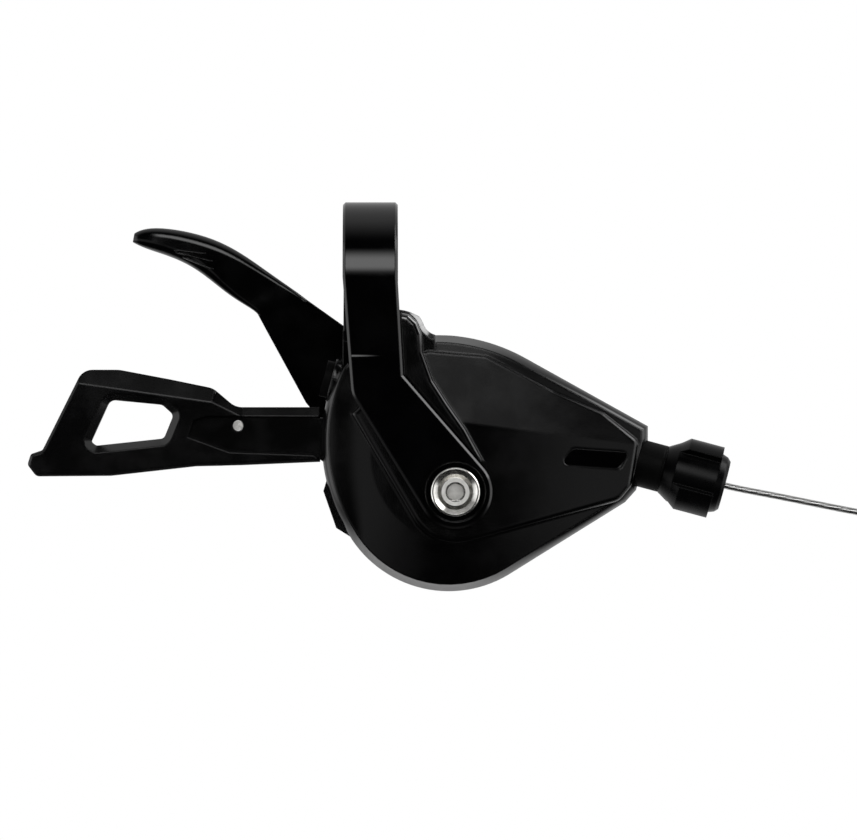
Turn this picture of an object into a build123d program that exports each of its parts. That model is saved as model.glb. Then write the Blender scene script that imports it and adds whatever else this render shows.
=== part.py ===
from build123d import *
from math import atan2, cos, degrees, hypot, pi, radians, sin, tan
import os

# Trigger gear shifter. The origin is the centre of the handlebar clamp,
# X runs along the bar towards the cable, Y runs away from the covered face, Z is up.

# Handlebar clamp
bar_radius = 11.1
band_wall = 2.4
band_width = 9.8
band_clearance = 0.3
bar_clearance = 0.4
hook_angle = 239
hook_length = 5.3
hook_room = 1.3
elbow = (1.3, -19.4)
elbow_radius = 4.7
arm_end_radius = 6.6
bolt_seat_radius = 5.35
bolt_seat_depth = 1.0
band_edge_break = 0.45
fold_height = -14.2
fold_tilt = 1.4

# Main axle and the clamp bolt on the same line
axle_x = 15.2
axle_z = -38.3
axle_radius = 4.5
axle_shoulder_radius = 6.0
axle_shoulder_length = 0.25
axle_thread_radius = 3.0
bolt_radius = 2.45
bolt_length = 11.0
bolt_head_radius = 4.35
bolt_head_height = 2.5
bolt_dish_depth = 1.3
bolt_rim = 0.2
socket_collar_radius = 2.55
socket_width = 3.0
socket_depth = 1.8
thread_clearance = 0.05
running_clearance = 0.05
seat_gap = 0.1
side_gap = 0.4

# Thicknesses along the axle, front to back
face_wall = 2.4
plate_gap = 0.3
plate_thickness = 1.6
spool_gap = 0.3
flange_thickness = 1.0
groove_width = 2.2
ratchet_thickness = 1.4
lever_thickness = 2.0
bush_collar = 3.0
cam_thickness = 1.4
release_thickness = 2.2
washer_thickness = 0.6
nut_thickness = 2.2
cap_thickness = 1.4
cap_spigot = 1.0
nut_width = 10.0

# Cable line, spool and ratchet
wire_radius = 0.6
wire_slope = 15
winding_radius = 13.5
groove_clearance = 0.2
spool_radius = 15.2
spool_hub_radius = 6.4
spring_pocket_radius = 10.6
spring_pocket_depth = 2.2
head_radius = 1.9
head_length = 4.0
head_lead = -2.0
head_clearance = 0.1
tooth_count = 24
tooth_root = 12.4
tooth_tip = 13.5
tooth_land = 2.0
tooth_slope = 7.5
tooth_clearance = 3.4
ratchet_seat_radius = 8.0
peg_radius = 1.0
peg_circle = 10.2
peg_count = 3

# Pawls
pawl_boss_radius = 2.2
pawl_pin_radius = 1.2
pawl_nose_width = 0.7
pawl_reach = 12.8
pawl_flange = 0.5
pawl_waist = 15.7
pawl_waist_radius = 1.2
holding_pin_circle = 20.6
holding_pin_angle = -8
holding_nose_angle = 14
holding_lift = 10
drive_pin_gap = 3.0
drive_pin_angle = 97
drive_nose_angle = 119
drive_lift = 12
tail_pin_radius = 0.9

# Springs, bent from flat strip
strip = 0.5
spool_spring_pitch = 1.15
lever_spring_pitch = 1.3
lever_spring_start = 200
release_spring_pitch = 1.5
spring_clearance = 0.15
holding_leg = 8.0
holding_leg_angle = 118
drive_leg = 4.0
drive_leg_angle = 207

# Housing
wall = 1.8
front_wall = 2.2
tub_back = 9.0
hub_radius = 17.0
rim_depth = 5.0
rim_width = 1.4
ear_break = 0.8
plateau_step = 1.1
plateau_round = 1.05
boss_height = 1.2
boss_round_radius = 1.0
arm_gap = 0.35
facet_tilt = 3.5
facet_reach = 30.0
facet_height = 4.0
label_depth = 0.3
label_round = 0.9
dome_centre = (16.0, -31.5)
dome_start = 16.0
dome_end = 26.0
dome_drop = 0.7
tub_edge_break = 1.6
screw_places = [(30.5, -20.6), (41.5, -38.6)]
screw_radius = 1.1
screw_head_radius = 2.1
screw_head_height = 1.3
screw_boss_radius = 2.3

# Base plate
plate_round = 12.6
plate_drop = 1.6
top_round = 4.2
hook_tab_left = -3.0
hook_tab_right = 4.2
hook_tab_overlap = 1.2
tab_half = 4.4

# Levers
bush_collar_radius = 6.4
bush_flange = 0.6
plate_hub = 9.5
arm_root = (-9.0, -28.4)
arm_root_radius = 3.4
plate_edge = [(-9.0, -25.0), (-29.4, -24.9), (-31.7, -25.7), (-32.6, -28.5), (-25.2, -31.2), (-9.0, -31.8)]
rivet_place = (-23.7, -26.5)
rivet_radius = 0.9
rivet_head = 0.3
pad_skin = 1.3
ledge_back = 14.0
pad_tilt = 22
pad_edge_break = 0.5
window_bevel = 1.3
window_draft = 2.4
cam_radius = 6.4
finger_angle = -14
finger_circle = 16.6
finger_radius = 1.5
release_hub = 8.0

# Lever swing
main_lever_swing = 45
release_swing = 10
slot_margin = 3
release_high = 104
release_low = 166
slot_gap = 0.5

# Barrel adjuster, measured along the cable from where it leaves the spool
cable_tab = 23.6
bush_start = 21.0
bush_radius = 3.4
stem_radius = 2.4
stem_start = 25.0
neck_radius = 4.2
neck_end = 34.4
knob_flare = 2.0
knob_grip = 7.6
knob_nose = 1.7
knob_core_radius = 5.4
knob_ridge_radius = 6.6
knob_end_radius = 4.4
nose_break = 0.6
washer_length = 0.4
ridge_count = 3
ridge_width = 55
ridge_turn = 48.5
ridge_lead = 1.5
casing_seat_radius = 2.6
casing_seat_depth = 6.0
wire_hole_radius = 0.9

# Cable entry port on the left
port_seat = -26.6
port_radius = 2.3
port_head_radius = 3.3
port_head_length = 1.4
port_shank = 2.6
port_boss_radius = 3.9

# Free cable past the barrel, and its coil
exit_lead = 1.75
cable_points = [(72.5, -39.05), (84.0, -41.4), (96.0, -43.6), (105.4, -44.9)]
coil_centre = (103.5, -58.8)
coil_radius = 10.8
bundle_radius = 3.75
tie_wall = 0.6
tie_width = 5.0
tie_angle = -35

# Depths, worked out from the front
arm_back = -bar_radius
arm_front = arm_back - band_wall
face = arm_back + seat_gap
cover_inside = face + face_wall
plate_front = cover_inside + plate_gap
plate_back = plate_front + plate_thickness
spool_front = plate_back + spool_gap
groove_front = spool_front + flange_thickness
wire_depth = groove_front + groove_width / 2
groove_back = groove_front + groove_width
spool_back = groove_back + flange_thickness
ratchet_back = spool_back + ratchet_thickness
lever_front = ratchet_back + side_gap
lever_back = lever_front + lever_thickness
bush_back = lever_back + bush_collar
cam_front = bush_back + side_gap
cam_back = cam_front + cam_thickness
release_front = bar_radius + band_wall + bar_clearance
release_back = release_front + release_thickness
washer_front = release_back + seat_gap
nut_front = washer_front + washer_thickness
axle_end = nut_front + nut_thickness
hub_back = axle_end + side_gap
cap_back = hub_back + cap_thickness
parting = wire_depth
skirt_front = face + plateau_step
boss_front = face - boss_height
drive_pin_circle = spool_radius + drive_pin_gap
neck_start = cable_tab + plate_thickness + seat_gap

axle = (axle_x, axle_z)
axle_section = Plane(origin=(axle_x, 0, axle_z), x_dir=(1, 0, 0), z_dir=(0, 0, 1))
axle_axis = Axis((axle_x, 0, axle_z), (0, 1, 0))
wire_way = (cos(radians(wire_slope)), 0, -sin(radians(wire_slope)))
wire_up = (sin(radians(wire_slope)), 0, cos(radians(wire_slope)))
wire_start = (axle_x + winding_radius * wire_up[0], wire_depth, axle_z + winding_radius * wire_up[2])
wire_section = Plane(origin=wire_start, x_dir=wire_way, z_dir=(0, -1, 0))
wire_axis = Axis(wire_start, wire_way)


def depth_plane(depth):
    """A sketching plane that faces the front, with X and Z as its two directions."""
    return Plane.XZ.offset(-depth)


def round_axle(radius, angle):
    """A place at a radius and an angle round the axle."""
    return (axle_x + radius * cos(radians(angle)), axle_z + radius * sin(radians(angle)))


def along_wire(length):
    """A place on the cable's line, as X and Z."""
    return (wire_start[0] + length * wire_way[0], wire_start[2] + length * wire_way[2])


def turned_about(point, centre, angle):
    """A place after a turn about another."""
    across, up = point[0] - centre[0], point[1] - centre[1]
    c, s = cos(radians(angle)), sin(radians(angle))
    return (centre[0] + across * c - up * s, centre[1] + across * s + up * c)


def post(centre, radius, front, back, mode=Mode.ADD):
    """A round post or hole that runs in depth."""
    with BuildSketch(depth_plane(back)) as profile:
        with Locations(centre):
            Circle(radius)
    extrude(profile.sketch, amount=back - front, mode=mode)


def plate(points, front, back, mode=Mode.ADD):
    """A flat plate with straight sides."""
    with BuildSketch(depth_plane(back)) as profile:
        with BuildLine():
            Polyline(*points, close=True)
        make_face()
    extrude(profile.sketch, amount=back - front, mode=mode)


def rounded_plate(corners, front, back, mode=Mode.ADD):
    """A flat plate whose corners each give X, Z and a rounding radius."""
    with BuildSketch(depth_plane(back)) as profile:
        with BuildLine():
            Polyline(*[(x, z) for x, z, _ in corners], close=True)
        make_face()
        for x, z, radius in corners:
            if radius:
                fillet(profile.vertices().sort_by_distance((x, z, 0))[0], radius=radius)
    extrude(profile.sketch, amount=back - front, mode=mode)


def facet(left, right, front, tilt):
    """Cut a face back above a crease line, leaning away from the front by an angle."""
    length = hypot(right[0] - left[0], right[1] - left[1])
    way = ((right[0] - left[0]) / length, (right[1] - left[1]) / length)
    lean = sin(radians(tilt))
    facet_plane = Plane(
        origin=(left[0], front, left[1]),
        x_dir=(way[0], 0, way[1]),
        z_dir=(-way[1] * lean, -cos(radians(tilt)), way[0] * lean),
    )
    with BuildSketch(facet_plane) as profile:
        Rectangle(length, facet_reach, align=(Align.MIN, Align.MIN))
    extrude(profile.sketch, amount=facet_height, mode=Mode.SUBTRACT)


def strap(first, first_radius, second, second_radius, mode=Mode.ADD):
    """The outline of a strap with two round ends, in the open sketch."""
    with BuildSketch(mode=Mode.PRIVATE) as ends:
        with Locations(first):
            Circle(first_radius)
        with Locations(second):
            Circle(second_radius)
    make_hull(ends.edges(), mode=mode)


def arm_outline(gap):
    """The band's arm from the ring down to the bolt, grown by a gap, in the open sketch."""
    half_width = band_width / 2 + gap
    with BuildSketch(mode=Mode.PRIVATE) as upper:
        with BuildLine():
            Line((-half_width, 0), (half_width, 0))
        with Locations(elbow):
            Circle(elbow_radius + gap)
    make_hull(upper.edges() + upper.pending_edges)
    strap(elbow, elbow_radius + gap, axle, arm_end_radius + gap)


def turned(points, plane, axis, mode=Mode.ADD):
    """A turned solid from its half section."""
    with BuildSketch(plane) as profile:
        with BuildLine():
            Polyline(*points, close=True)
        make_face()
    revolve(profile.sketch, axis=axis, mode=mode)


def wire_post(radius, start, end, mode=Mode.ADD):
    """A round post or bore along the cable's line."""
    turned([(start, 0), (end, 0), (end, radius), (start, radius)], wire_section, wire_axis, mode)


def swept_slot(start, stop, front, back):
    """A slot cut out of a wall where a lever swings round the axle."""
    steps = 4
    ends = [round_axle(slot_reach, start + (stop - start) * n / steps) for n in range(steps + 1)]
    plate([axle] + ends, front, back, Mode.SUBTRACT)


def spiral(inner, pitch, half_turns, start, front, back):
    """A flat spiral spring round the axle, made of half circles from two centres."""
    with BuildSketch(depth_plane(back)) as profile:
        with BuildLine() as path:
            for n in range(half_turns):
                side = n % 2
                centre = round_axle(side * pitch / 2, start)
                CenterArc(centre, inner + n * pitch / 2, start + 180 * side, 180)
        trace(path.line, strip)
    extrude(profile.sketch, amount=back - front)


def clear_bar():
    """Room for the bar, the band's ring and its hooked end, cut from a cover."""
    with BuildSketch(Plane.YZ) as bar_room:
        Circle(bar_radius + bar_clearance)
    extrude(bar_room.sketch, amount=bar_reach, both=True, mode=Mode.SUBTRACT)
    with BuildSketch(Plane.YZ) as band_room:
        Circle(bar_radius + band_wall + band_clearance)
        with Locations(((plate_front + hook_back) / 2, hook_end / 2)):
            Rectangle(hook_back - plate_front + 2 * band_clearance, -hook_end + 2 * hook_room)
    extrude(band_room.sketch, amount=band_width / 2 + seat_gap, both=True, mode=Mode.SUBTRACT)


bar_reach = 120
slot_reach = 45
hook_front = plate_back + seat_gap
hook_back = hook_front + band_wall
hook_end = -(bar_radius + hook_length)
ring_out = bar_radius + band_wall

# Outlines of the covers, from the top left round to the saddle
cover_shoulder = (-5.5, -15.5)
cover_bulge = (-8.6, -27.0)
cover_heel = (-4.4, -45.0)
cover_bottom = (14.3, -56.1)
cover_turn = (24.6, -53.2)
cover_chin = (45.5, -40.2)
cover_lip = (47.5, -38.0)
cover_end = (49.6, -29.4)
cover_nose = (49.6, -26.6)
cover_brow = (27.3, -14.2)
cover_crest = (19.0, -11.1)
cover_saddle = (11.6, -10.3)
saddle_edge = (5.4, -11.6)
band_notch = -14.4
rear_side = [(-6.8, -24.0), (-7.0, -33.5), (-8.4, -38.2), (-6.1, -44.8), (-3.2, -46.6)]
rear_bottom = (14.3, -55.7)


def right_half(top):
    """The edge from the lower turn round the cable end, then along the given top to the shoulder."""
    Polyline(cover_turn, cover_chin, cover_lip, cover_end, cover_nose, cover_brow)
    if top == "saddle":
        ThreePointArc(cover_brow, cover_crest, cover_saddle)
        notch = (saddle_edge[0], band_notch)
        Polyline(cover_saddle, saddle_edge, notch, (cover_shoulder[0] + 1, band_notch), cover_shoulder)
    else:
        Line(cover_brow, cover_shoulder)


def front_outline(top):
    with BuildLine() as edge:
        ThreePointArc(cover_shoulder, cover_bulge, cover_heel)
        ThreePointArc(cover_heel, cover_bottom, cover_turn)
        right_half(top)
    make_face(edge.edges())


def rear_outline(top):
    with BuildLine() as edge:
        Polyline(cover_shoulder, *rear_side)
        ThreePointArc(rear_side[-1], rear_bottom, cover_turn)
        right_half(top)
    make_face(edge.edges())


def cavity(outline, thickness, front, back):
    """The hollow inside a cover, one wall in from its outline and under its flat top."""
    with BuildSketch(depth_plane(back)) as profile:
        outline("flat")
        offset(amount=-thickness, kind=Kind.INTERSECTION)
    extrude(profile.sketch, amount=back - front, mode=Mode.SUBTRACT)


def cable_openings(keep_front):
    """Port boss and bore, and the adjuster's neck hole, on one side of the parting line."""
    wire_post(port_boss_radius, port_seat, port_seat + port_shank)
    port_end = port_seat + port_shank + 2 * wall
    wire_post(port_radius + running_clearance, port_seat - wall, port_end, Mode.SUBTRACT)
    wire_post(neck_radius + running_clearance, neck_start, neck_end, Mode.SUBTRACT)
    with BuildSketch(depth_plane(parting)) as half:
        Rectangle(2 * bar_reach, 2 * bar_reach)
    extrude(half.sketch, amount=-bar_reach if keep_front else bar_reach, mode=Mode.SUBTRACT)


# Clamp band: ring, hooked rear end and the long arm to the bolt
with BuildPart() as clamp_band:
    half_width = band_width / 2
    with BuildSketch(depth_plane(arm_back)):
        arm_outline(0)
    extrude(amount=band_wall)
    fold_plane = Plane(
        origin=(0, arm_front, fold_height),
        x_dir=(1, 0, 0),
        z_dir=(0, -cos(radians(fold_tilt)), -sin(radians(fold_tilt))),
    )
    with BuildSketch(fold_plane):
        Rectangle(bar_reach, bar_reach, align=(Align.CENTER, Align.MAX))
    extrude(amount=band_wall, mode=Mode.SUBTRACT)
    front_edges = clamp_band.edges().filter_by(lambda e: e.center().Y < arm_front + band_wall / 3)
    side_edges = front_edges.filter_by(lambda e: abs(e.center().X) > 1 and e.center().Z < -1)
    chamfer(side_edges, length=band_edge_break)
    with BuildSketch(Plane.XY):
        with BuildLine():
            Polyline(
                (-half_width, -bar_radius),
                (half_width, -bar_radius),
                (half_width, band_edge_break - ring_out),
                (half_width - band_edge_break, -ring_out),
                (band_edge_break - half_width, -ring_out),
                (-half_width, band_edge_break - ring_out),
                close=True,
            )
        make_face()
    revolve(axis=Axis((0, 0, 0), (-1, 0, 0)), revolution_arc=540 - hook_angle)
    with BuildSketch(Plane.YZ):
        with Locations(((hook_front + hook_back) / 2, (hook_end - bar_radius) / 2)):
            Rectangle(band_wall, -hook_end - bar_radius)
    extrude(amount=half_width, both=True)
    post(axle, bolt_radius + thread_clearance, arm_front, arm_back, Mode.SUBTRACT)
    post(axle, bolt_seat_radius, arm_front, arm_front + bolt_seat_depth, Mode.SUBTRACT)
clamp_band.part.label = "clamp_band"

bolt_seat = arm_front + bolt_seat_depth
bolt_top = bolt_seat - bolt_head_height
bolt_end = bolt_seat + bolt_length
with BuildPart() as clamp_bolt:
    turned(
        [
            (0, bolt_top + bolt_dish_depth),
            (socket_collar_radius, bolt_top + bolt_dish_depth),
            (bolt_head_radius - 2 * bolt_rim, bolt_top),
            (bolt_head_radius - bolt_rim, bolt_top),
            (bolt_head_radius, bolt_top + bolt_rim),
            (bolt_head_radius, bolt_seat),
            (bolt_radius, bolt_seat),
            (bolt_radius, bolt_end),
            (0, bolt_end),
        ],
        axle_section,
        axle_axis,
    )
    post(axle, socket_collar_radius, bolt_top + bolt_dish_depth / 2, bolt_seat)
    with BuildSketch(depth_plane(bolt_top + socket_depth)):
        with Locations(axle):
            RegularPolygon(socket_width / 2, 6, major_radius=False)
    extrude(amount=socket_depth, mode=Mode.SUBTRACT)
clamp_bolt.part.label = "clamp_bolt"

with BuildPart() as main_axle:
    bore = bolt_radius + thread_clearance
    turned(
        [
            (bore, arm_back),
            (axle_radius, arm_back),
            (axle_radius, plate_back),
            (axle_shoulder_radius, plate_back),
            (axle_shoulder_radius, plate_back + axle_shoulder_length),
            (axle_radius, plate_back + axle_shoulder_length),
            (axle_radius, washer_front),
            (axle_thread_radius, washer_front),
            (axle_thread_radius, axle_end),
            (0, axle_end),
            (0, bolt_end + seat_gap),
            (bore, bolt_end + seat_gap),
        ],
        axle_section,
        axle_axis,
    )
main_axle.part.label = "main_axle"

# Base plate with the hook tab for the band and the upturned tab for the adjuster
tab_place = along_wire(cable_tab)
holding_pin = round_axle(holding_pin_circle, holding_pin_angle)
with BuildPart() as base_plate:
    with BuildSketch(depth_plane(plate_back)):
        strap(axle, plate_round, (elbow[0], elbow[1] - plate_drop), top_round)
        strap(axle, plate_round, tab_place, tab_half)
        strap(axle, plate_round, holding_pin, pawl_boss_radius)
        with Locations(((hook_tab_left + hook_tab_right) / 2, (hook_end + band_notch) / 2)):
            Rectangle(hook_tab_right - hook_tab_left, band_notch - hook_end + hook_tab_overlap)
    extrude(amount=plate_thickness)
    with BuildSketch(Plane(origin=(tab_place[0], wire_depth, tab_place[1]), x_dir=(0, 1, 0), z_dir=wire_way)):
        tab_depth = tab_half + wire_depth - plate_front
        with Locations(((tab_half - wire_depth + plate_front) / 2, 0)):
            Rectangle(tab_depth, 2 * tab_half)
    extrude(amount=plate_thickness)
    wire_post(bush_radius + running_clearance, bush_start, neck_start, Mode.SUBTRACT)
    wire_post(neck_radius + running_clearance, cable_tab + plate_thickness, neck_end, Mode.SUBTRACT)
    post(axle, axle_radius + thread_clearance, plate_front, plate_back, Mode.SUBTRACT)
    post(holding_pin, pawl_pin_radius + thread_clearance, plate_front, plate_back, Mode.SUBTRACT)
    for place in screw_places:
        post(place, screw_boss_radius + seat_gap, plate_front, plate_back, Mode.SUBTRACT)
base_plate.part.label = "base_plate"

# Front cover
plateau_corners = [
    (-3.4, -24.4, 0),
    (11.1, -49.1, 9.0),
    (44.4, -39.9, 3.0),
    (46.6, -37.2, 2.2),
    (47.9, -29.2, 1.8),
    (41.6, -24.3, 0),
    (32.7, -20.5, 0),
    (25.0, -16.4, 2.0),
    (20.8, -14.2, 2.0),
    (10.4, -13.3, 0),
    (6.2, -14.6, 0),
]
ear_tip = (4.6, -5.0)
ear_round = (8.3, -6.5)
ear_side = (9.6, -8.6)
ear_waist = (10.3, -9.6)
boss_edge = [
    (4.6, -6.2),
    (6.9, -6.7),
    (8.4, -8.1),
    (9.2, -10.2),
    (9.4, -13.4),
    (11.2, -18.4),
    (13.9, -22.6),
    (17.0, -27.0),
    (20.2, -32.8),
    (15.2, -38.3),
    (4.6, -19.0),
]
crease_left = (6.0, -24.6)
crease_right = (51.0, -30.4)
label_corners = [
    (36.0, -30.4, label_round),
    (46.3, -31.1, label_round),
    (44.6, -34.2, label_round),
    (33.8, -33.5, label_round),
]
with BuildPart() as front_cover:
    with BuildSketch(depth_plane(parting)):
        front_outline("saddle")
    extrude(amount=parting - skirt_front)
    skirt_face = front_cover.faces().sort_by(Axis.Y)[0]
    chamfer(skirt_face.edges(), length=rim_width, length2=rim_depth, reference=skirt_face)
    dome_section = Plane(origin=(dome_centre[0], 0, dome_centre[1]), x_dir=(1, 0, 0), z_dir=(0, 0, 1))
    dome_axis = Axis((dome_centre[0], 0, dome_centre[1]), (0, 1, 0))
    turned(
        [
            (dome_start, skirt_front),
            (dome_end, skirt_front + dome_drop),
            (bar_reach, skirt_front + dome_drop),
            (bar_reach, face),
            (dome_start, face),
        ],
        dome_section,
        dome_axis,
        Mode.SUBTRACT,
    )
    rounded_plate(plateau_corners, face, cover_inside)
    plateau_face = front_cover.faces().sort_by(Axis.Y)[0]
    fillet(plateau_face.edges(), radius=plateau_round)
    facet(crease_left, crease_right, face, facet_tilt)
    rounded_plate(label_corners, face, face + label_depth, Mode.SUBTRACT)
    with BuildSketch(depth_plane(parting)):
        with BuildLine():
            ThreePointArc(ear_tip, ear_round, ear_side)
            ThreePointArc(ear_side, ear_waist, cover_saddle)
            Polyline(cover_saddle, (cover_saddle[0], band_notch), (ear_tip[0], band_notch), ear_tip)
        make_face()
    extrude(amount=parting - skirt_front)
    skirt_edges = front_cover.edges().filter_by(lambda e: abs(e.center().Y - skirt_front) < seat_gap)
    upper_edges = skirt_edges.filter_by(lambda e: e.center().Z > cover_saddle[1])
    chamfer(upper_edges.filter_by(lambda e: e.center().X > band_width / 2), length=ear_break)
    plate(boss_edge, boss_front, cover_inside)
    boss_face = front_cover.faces().sort_by(Axis.Y)[0]
    fillet(boss_face.edges(), radius=boss_round_radius)
    with BuildSketch(depth_plane(face)):
        arm_outline(arm_gap)
    extrude(amount=face - boss_front, mode=Mode.SUBTRACT)
    cavity(front_outline, front_wall, cover_inside, parting)
    post(axle, axle_radius + band_clearance, face, cover_inside, Mode.SUBTRACT)
    for place in screw_places:
        post(place, screw_boss_radius, cover_inside, parting)
        post(place, screw_radius + running_clearance, cover_inside, parting, Mode.SUBTRACT)
    cable_openings(True)
    clear_bar()
front_cover.part.label = "front_cover"

# Rear cover: a tub behind the parting line and a round hub for the release lever
arm_angle = degrees(atan2(arm_root[1] - axle_z, arm_root[0] - axle_x))
arm_half = degrees(atan2(plate_hub, plate_hub + hub_radius))
with BuildPart() as rear_cover:
    with BuildSketch(depth_plane(tub_back)):
        rear_outline("saddle")
    extrude(amount=tub_back - parting)
    tub_face = rear_cover.faces().sort_by(Axis.Y)[-1]
    chamfer(tub_face.edges(), length=tub_edge_break)
    post(axle, hub_radius, tub_back - wall, hub_back)
    cavity(rear_outline, wall, parting, tub_back - wall)
    post(axle, hub_radius - wall, tub_back - wall, hub_back, Mode.SUBTRACT)
    for place in screw_places:
        post(place, screw_boss_radius, parting, tub_back)
        post(place, screw_radius + running_clearance, parting, tub_back, Mode.SUBTRACT)
        head_room = screw_head_radius + running_clearance
        post(place, head_room, tub_back - screw_head_height, tub_back, Mode.SUBTRACT)
    swept_slot(
        arm_angle - arm_half - slot_margin,
        arm_angle + arm_half + main_lever_swing + slot_margin,
        lever_front - slot_gap,
        lever_back + slot_gap,
    )
    swept_slot(
        release_high - release_swing - slot_margin,
        release_low + release_swing + slot_margin,
        release_front - slot_gap,
        release_back + slot_gap,
    )
    cable_openings(False)
    clear_bar()
rear_cover.part.label = "rear_cover"

with BuildPart() as hub_cap:
    spigot_radius = hub_radius - wall - seat_gap
    turned(
        [
            (0, hub_back),
            (spigot_radius - wall, hub_back),
            (spigot_radius - wall, hub_back - cap_spigot),
            (spigot_radius, hub_back - cap_spigot),
            (spigot_radius, hub_back),
            (hub_radius, hub_back),
            (hub_radius, hub_back + cap_thickness / 2),
            (hub_radius - cap_thickness, cap_back),
            (0, cap_back),
        ],
        axle_section,
        axle_axis,
    )
hub_cap.part.label = "hub_cap"

with BuildPart() as cover_screws:
    screw_front = cover_inside + seat_gap
    for place in screw_places:
        post(place, screw_radius, screw_front, tub_back)
        post(place, screw_head_radius, tub_back - screw_head_height, tub_back)
cover_screws.part.label = "cover_screws"

with BuildPart() as port_plug:
    wire_post(port_radius, port_seat, port_seat + port_shank)
    wire_post(port_head_radius, port_seat - port_head_length, port_seat)
port_plug.part.label = "port_plug"

with BuildPart() as axle_washer:
    post(axle, hub_radius / 2.6, washer_front, nut_front)
    post(axle, axle_thread_radius + thread_clearance, washer_front, nut_front, Mode.SUBTRACT)
axle_washer.part.label = "axle_washer"

with BuildPart() as axle_nut:
    with BuildSketch(depth_plane(axle_end)):
        with Locations(axle):
            RegularPolygon(nut_width / 2, 6, major_radius=False)
            Circle(axle_thread_radius + thread_clearance, mode=Mode.SUBTRACT)
    extrude(amount=nut_thickness)
axle_nut.part.label = "axle_nut"

# Spool, ratchet ring and cable head
spool_bore = axle_radius + running_clearance
groove_bottom = winding_radius - wire_radius - groove_clearance
with BuildPart() as cable_spool:
    pocket_floor = spool_front + spring_pocket_depth
    turned(
        [
            (spool_bore, spool_front),
            (spool_hub_radius, spool_front),
            (spool_hub_radius, pocket_floor),
            (spring_pocket_radius, pocket_floor),
            (spring_pocket_radius, spool_front),
            (spool_radius, spool_front),
            (spool_radius, groove_front),
            (groove_bottom, groove_front),
            (groove_bottom, groove_back),
            (spool_radius, groove_back),
            (spool_radius, spool_back),
            (ratchet_seat_radius, spool_back),
            (ratchet_seat_radius, ratchet_back),
            (spool_bore, ratchet_back),
        ],
        axle_section,
        axle_axis,
    )
    for n in range(peg_count):
        post(round_axle(peg_circle, 360 * n / peg_count), peg_radius, spool_back, ratchet_back)
    head_end = -head_lead - head_length
    head_start = head_clearance - head_lead
    wire_post(head_radius + head_clearance, head_end - head_clearance, head_start, Mode.SUBTRACT)
cable_spool.part.label = "cable_spool"

nose_half = degrees(pawl_nose_width / 2 / pawl_reach)
tooth_step = 360 / tooth_count
steep_face = holding_nose_angle + nose_half + tooth_clearance
with BuildPart() as ratchet_ring:
    with BuildSketch(depth_plane(ratchet_back)):
        with Locations(axle):
            Circle(tooth_root)
        for n in range(tooth_count):
            first = steep_face + n * tooth_step
            with BuildLine():
                Polyline(
                    round_axle(tooth_root - 0.5, first),
                    round_axle(tooth_tip, first),
                    round_axle(tooth_tip, first + tooth_land),
                    round_axle(tooth_root - 0.1, first + tooth_slope),
                    close=True,
                )
            make_face()
        with Locations(axle):
            Circle(ratchet_seat_radius + thread_clearance, mode=Mode.SUBTRACT)
        with Locations(*[round_axle(peg_circle, 360 * n / peg_count) for n in range(peg_count)]):
            Circle(peg_radius + thread_clearance, mode=Mode.SUBTRACT)
    extrude(amount=ratchet_thickness)
ratchet_ring.part.label = "ratchet_ring"

with BuildPart() as cable_head:
    wire_post(head_radius, head_end, -head_lead)
cable_head.part.label = "cable_head"

with BuildPart() as spool_spring:
    spiral(spool_hub_radius + strip, spool_spring_pitch, 5, 0, spool_front + seat_gap, pocket_floor - seat_gap)
spool_spring.part.label = "spool_spring"

# Pawls, drawn engaged and turned out of the teeth for the stored position
drive_pin = round_axle(drive_pin_circle, drive_pin_angle)
pawl_front = spool_back + seat_gap
pawl_back = ratchet_back


def pawl(pin, nose_angle, lift):
    """A pawl in its lifted position, with a round boss, a waist and a nose."""
    waist = turned_about(round_axle(pawl_waist, nose_angle - 1), pin, -lift)
    nose = [
        round_axle(pawl_reach, nose_angle - nose_half),
        round_axle(pawl_reach, nose_angle + nose_half),
        round_axle(pawl_waist, nose_angle + nose_half),
        round_axle(pawl_waist, nose_angle - 2 * nose_half),
    ]
    with BuildSketch(depth_plane(pawl_back)) as profile:
        strap(pin, pawl_boss_radius, waist, pawl_waist_radius)
        with BuildLine():
            Polyline(*[turned_about(p, pin, -lift) for p in nose], close=True)
        make_face()
        with Locations(pin):
            Circle(pawl_pin_radius + running_clearance, mode=Mode.SUBTRACT)
    extrude(profile.sketch, amount=pawl_back - pawl_front)


with BuildPart() as holding_pawl:
    pawl(holding_pin, holding_nose_angle, holding_lift)
    tail = turned_about(round_axle(pawl_waist, holding_nose_angle - 1), holding_pin, -holding_lift)
    post(tail, tail_pin_radius, pawl_back, cam_back)
holding_pawl.part.label = "holding_pawl"

with BuildPart() as drive_pawl:
    pawl(drive_pin, drive_nose_angle, drive_lift)
drive_pawl.part.label = "drive_pawl"

with BuildPart() as pawl_pin:
    post(holding_pin, pawl_pin_radius, plate_front, lever_back + pawl_flange)
    post(holding_pin, pawl_boss_radius, lever_back, lever_back + pawl_flange)
pawl_pin.part.label = "pawl_pin"

with BuildPart() as drive_pawl_pin:
    clip_front = pawl_front - 2 * seat_gap - strip
    post(drive_pin, pawl_pin_radius, clip_front - pawl_flange, lever_back)
    post(drive_pin, pawl_boss_radius, clip_front - pawl_flange, clip_front)
drive_pawl_pin.part.label = "drive_pawl_pin"


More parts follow.
